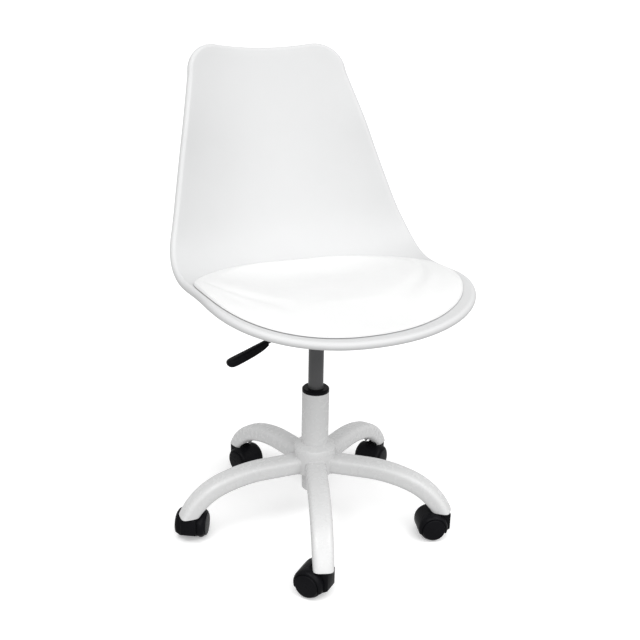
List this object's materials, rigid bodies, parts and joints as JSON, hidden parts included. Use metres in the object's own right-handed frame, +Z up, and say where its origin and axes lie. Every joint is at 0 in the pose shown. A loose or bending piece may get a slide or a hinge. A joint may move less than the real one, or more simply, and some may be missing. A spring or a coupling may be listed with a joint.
{
  "type": "swivel desk chair",
  "caption": "White moulded bucket-seat desk chair with a loose pad, gas lift, five-arm tube base and twin-wheel casters.",
  "frame": {"origin": "on the column's axis, at floor level", "axes": "+Z up, the sitter faces -Y, the height lever is on -X, the sitter's right"},
  "size_m": [0.5094, 0.573, 0.8546],
  "materials": {
    "shell_plastic": "satin white moulded polypropylene",
    "brass": "turned",
    "pad_leather": "smooth white imitation leather",
    "plywood": "raw plywood",
    "black_steel": "black paint",
    "rubber": "matte",
    "bright_steel": "zinc plated or ground",
    "dark_steel": "dark satin paint",
    "white_coat": "white powder coat",
    "black_nylon": "black moulded nylon"
  },
  "bodies": {
    "base": {"column_tube": "white_coat", "guide_bush": "black_nylon", "bearing_lower_race": "bright_steel", "bearing_cage": "black_nylon", "bearing_balls": "bright_steel", "base_hub": "white_coat", "hub_cap": "white_coat", "base_arm_1": "white_coat", "base_arm_2": "white_coat", "base_arm_3": "white_coat", "base_arm_4": "white_coat", "base_arm_5": "white_coat", "caster_sockets": "dark_steel", "caster_stem_1": "bright_steel", "caster_stem_2": "bright_steel", "caster_stem_3": "bright_steel", "caster_stem_4": "bright_steel", "caster_stem_5": "bright_steel"},
    "lift_rod": {"piston_rod": "bright_steel", "piston_seal": "rubber", "bump_stop": "rubber", "bearing_upper_race": "bright_steel", "retaining_clip": "bright_steel"},
    "seat": {"seat_shell": "shell_plastic", "threaded_inserts": "brass", "seat_pad": "pad_leather", "pad_board": "plywood", "mounting_plate": "black_steel", "rubber_washers": "rubber", "plate_bolts": "bright_steel", "socket_bracket": "black_steel", "taper_socket": "black_steel", "lever_pivot_pin": "bright_steel", "pressure_tube": "dark_steel"},
    "lever": {"lever_rod": "black_steel", "lever_handle": "black_nylon"},
    "valve": {"valve_button": "bright_steel"},
    "caster_1": {"caster_hood_1": "black_nylon", "caster_axle_1": "bright_steel"},
    "wheel_1_left": {"wheel_1_left": "black_nylon"},
    "wheel_1_right": {"wheel_1_right": "black_nylon"},
    "caster_2": {"caster_hood_2": "black_nylon", "caster_axle_2": "bright_steel"},
    "wheel_2_left": {"wheel_2_left": "black_nylon"},
    "wheel_2_right": {"wheel_2_right": "black_nylon"},
    "caster_3": {"caster_hood_3": "black_nylon", "caster_axle_3": "bright_steel"},
    "wheel_3_left": {"wheel_3_left": "black_nylon"},
    "wheel_3_right": {"wheel_3_right": "black_nylon"},
    "caster_4": {"caster_hood_4": "black_nylon", "caster_axle_4": "bright_steel"},
    "wheel_4_left": {"wheel_4_left": "black_nylon"},
    "wheel_4_right": {"wheel_4_right": "black_nylon"},
    "caster_5": {"caster_hood_5": "black_nylon", "caster_axle_5": "bright_steel"},
    "wheel_5_left": {"wheel_5_left": "black_nylon"},
    "wheel_5_right": {"wheel_5_right": "black_nylon"}
  },
  "joints": [
    {"name": "seat_swivel", "type": "hinge", "parent": "base", "child": "lift_rod", "pos_m": [0, 0, 0.0763], "axis": [0, 0, 1], "continuous": true},
    {"name": "seat_height", "type": "slide", "parent": "lift_rod", "child": "seat", "axis": [0, 0, 1], "range_m": [-0.09, 0]},
    {"name": "lever_lift", "type": "hinge", "parent": "seat", "child": "lever", "pos_m": [-0.034, 0, 0.39393], "axis": [0, 1, 0], "range_deg": [0, 5], "stiffness_Nm_per_rad": 3, "springref_deg": -5.73},
    {"name": "valve_press", "type": "slide", "parent": "seat", "child": "valve", "axis": [0, 0, -1], "range_m": [0, 0.0035]},
    {"name": "caster_swivel_1", "type": "hinge", "parent": "base", "child": "caster_1", "pos_m": [-0.07525, -0.23158, 0.025], "axis": [0, 0, 1], "continuous": true},
    {"name": "wheel_spin_1_left", "type": "hinge", "parent": "caster_1", "child": "wheel_1_left", "pos_m": [-0.08705, -0.218, 0.025], "axis": [-0.7547, -0.6561, 0], "continuous": true},
    {"name": "wheel_spin_1_right", "type": "hinge", "parent": "caster_1", "child": "wheel_1_right", "pos_m": [-0.08705, -0.218, 0.025], "axis": [-0.7547, -0.6561, 0], "continuous": true},
    {"name": "caster_swivel_2", "type": "hinge", "parent": "base", "child": "caster_2", "pos_m": [0.197, -0.14313, 0.025], "axis": [0, 0, 1], "continuous": true},
    {"name": "wheel_spin_2_left", "type": "hinge", "parent": "caster_2", "child": "wheel_2_left", "pos_m": [0.17961, -0.13847, 0.025], "axis": [-0.2588, -0.9659, 0], "continuous": true},
    {"name": "wheel_spin_2_right", "type": "hinge", "parent": "caster_2", "child": "wheel_2_right", "pos_m": [0.17961, -0.13847, 0.025], "axis": [-0.2588, -0.9659, 0], "continuous": true},
    {"name": "caster_swivel_3", "type": "hinge", "parent": "base", "child": "caster_3", "pos_m": [0.197, 0.14313, 0.025], "axis": [0, 0, 1], "continuous": true},
    {"name": "wheel_spin_3_left", "type": "hinge", "parent": "caster_3", "child": "wheel_3_left", "pos_m": [0.18281, 0.13204, 0.025], "axis": [0.6157, -0.788, 0], "continuous": true},
    {"name": "wheel_spin_3_right", "type": "hinge", "parent": "caster_3", "child": "wheel_3_right", "pos_m": [0.18281, 0.13204, 0.025], "axis": [0.6157, -0.788, 0], "continuous": true},
    {"name": "caster_swivel_4", "type": "hinge", "parent": "base", "child": "caster_4", "pos_m": [-0.07525, 0.23158, 0.025], "axis": [0, 0, 1], "continuous": true},
    {"name": "wheel_spin_4_left", "type": "hinge", "parent": "caster_4", "child": "wheel_4_left", "pos_m": [-0.06821, 0.21501, 0.025], "axis": [0.9205, 0.3907, 0], "continuous": true},
    {"name": "wheel_spin_4_right", "type": "hinge", "parent": "caster_4", "child": "wheel_4_right", "pos_m": [-0.06821, 0.21501, 0.025], "axis": [0.9205, 0.3907, 0], "continuous": true},
    {"name": "caster_swivel_5", "type": "hinge", "parent": "base", "child": "caster_5", "pos_m": [-0.2435, 0, 0.025], "axis": [0, 0, 1], "continuous": true},
    {"name": "wheel_spin_5_left", "type": "hinge", "parent": "caster_5", "child": "wheel_5_left", "pos_m": [-0.23477, 0.01574, 0.025], "axis": [-0.8746, 0.4848, 0], "continuous": true},
    {"name": "wheel_spin_5_right", "type": "hinge", "parent": "caster_5", "child": "wheel_5_right", "pos_m": [-0.23477, 0.01574, 0.025], "axis": [-0.8746, 0.4848, 0], "continuous": true}
  ],
  "couplings": [
    {"joint": "valve_press", "follows": "lever_lift", "m_per_rad": 0.038}
  ]
}
